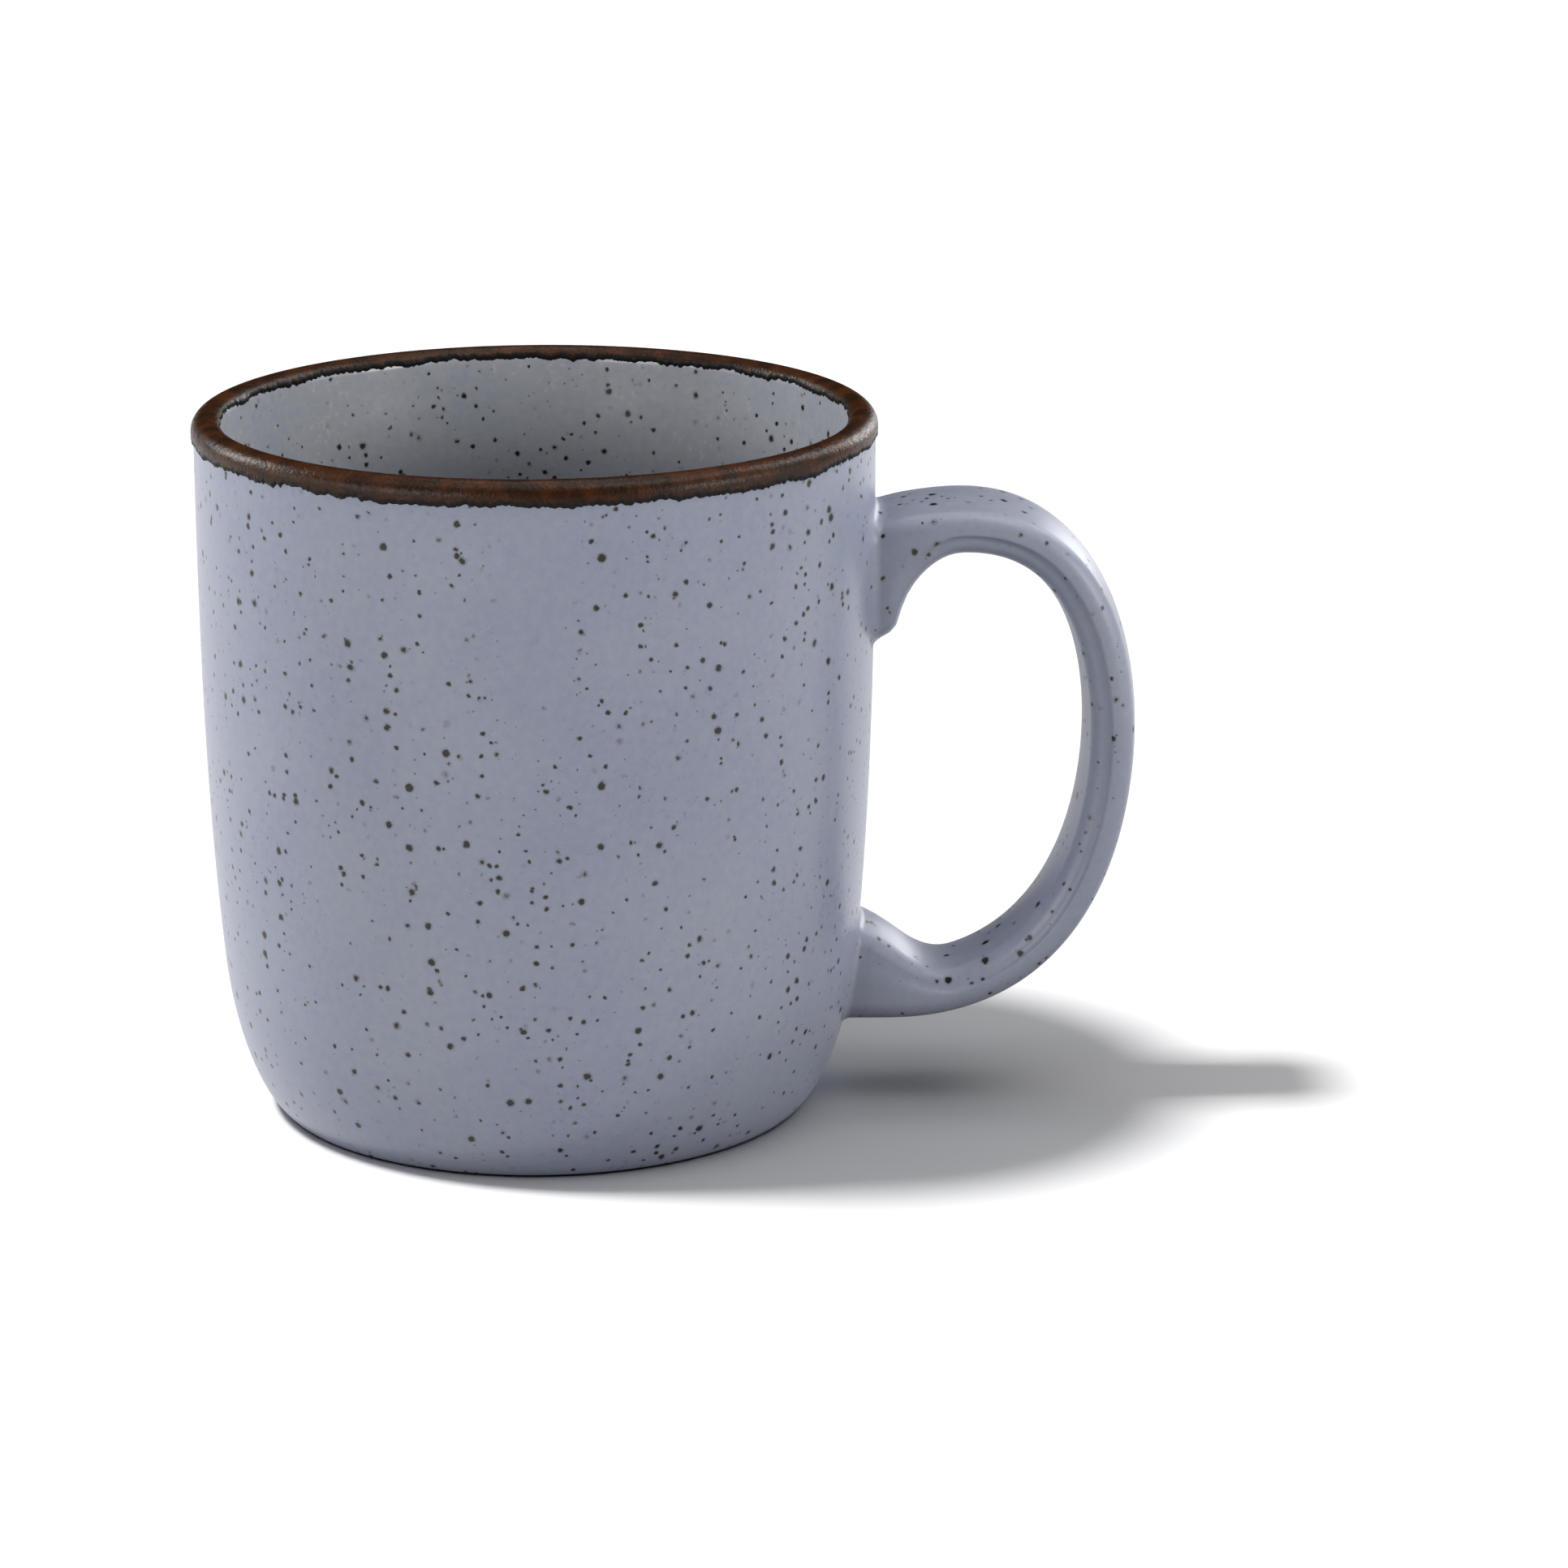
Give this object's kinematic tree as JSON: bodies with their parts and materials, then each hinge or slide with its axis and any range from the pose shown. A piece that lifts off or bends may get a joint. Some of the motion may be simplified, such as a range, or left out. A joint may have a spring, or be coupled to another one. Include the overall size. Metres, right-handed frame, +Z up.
{
  "type": "ceramic mug",
  "caption": "Glazed stoneware mug: straight-sided cup with a rounded foot, thin iron-brown lip and a tapered strap handle with a finger opening.",
  "frame": {"origin": "on the resting plane, under the middle of the whole mug's box (cup and handle together); the cup's own axis is 16.85 mm towards -X", "axes": "+Z up out of the cup's mouth, +X towards the handle, +Y across the handle"},
  "size_m": [0.1217, 0.088, 0.0923],
  "materials": {
    "bare_clay": "matte bare stoneware",
    "slip": "matte fired slip",
    "blue_grey_glaze": "satin speckled glaze",
    "inner_glaze": "satin speckled glaze",
    "iron_glaze": "glossy iron-brown glaze"
  },
  "bodies": {
    "root": {"cup_body": "bare_clay", "handle_strap": "bare_clay", "upper_slip_joint": "slip", "lower_slip_joint": "slip", "outer_glaze": "blue_grey_glaze", "handle_glaze": "blue_grey_glaze", "rim_glaze_band": "iron_glaze", "inner_glaze": "inner_glaze", "base_glaze": "blue_grey_glaze"}
  },
  "joints": []
}
